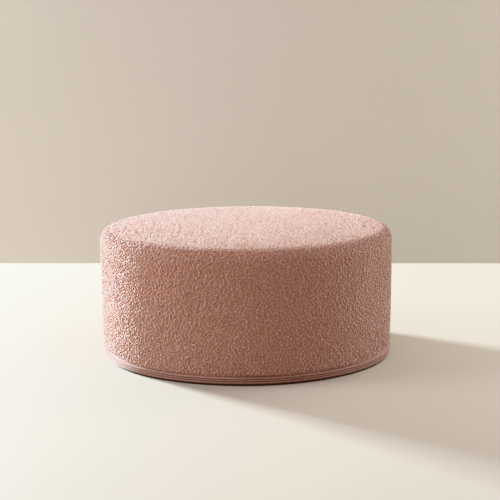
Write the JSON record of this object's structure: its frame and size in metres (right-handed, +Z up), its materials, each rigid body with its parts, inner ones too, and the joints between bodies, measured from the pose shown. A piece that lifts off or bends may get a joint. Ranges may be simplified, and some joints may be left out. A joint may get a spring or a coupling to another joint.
{
  "type": "round ottoman",
  "caption": "Low round drum ottoman in looped wool cloth, with a rounded upper edge, a plain seam round its crowned top panel, a smooth band above the floor and a thin dark base.",
  "frame": {"origin": "on the floor, under the middle of the drum", "axes": "+Z up along the drum's axis; the side seen in the picture faces -Y, with +X to its right"},
  "size_m": [0.8984, 0.8988, 0.4],
  "materials": {
    "looped_wool": "matt dusty pink looped wool",
    "band_cloth": "matt dusty pink flat woven cloth",
    "base_cloth": "matt dark brown base cloth"
  },
  "bodies": {
    "root": {"base_panel": "base_cloth", "base_band": "band_cloth", "side_panel": "looped_wool", "top_panel": "looped_wool"}
  },
  "joints": []
}
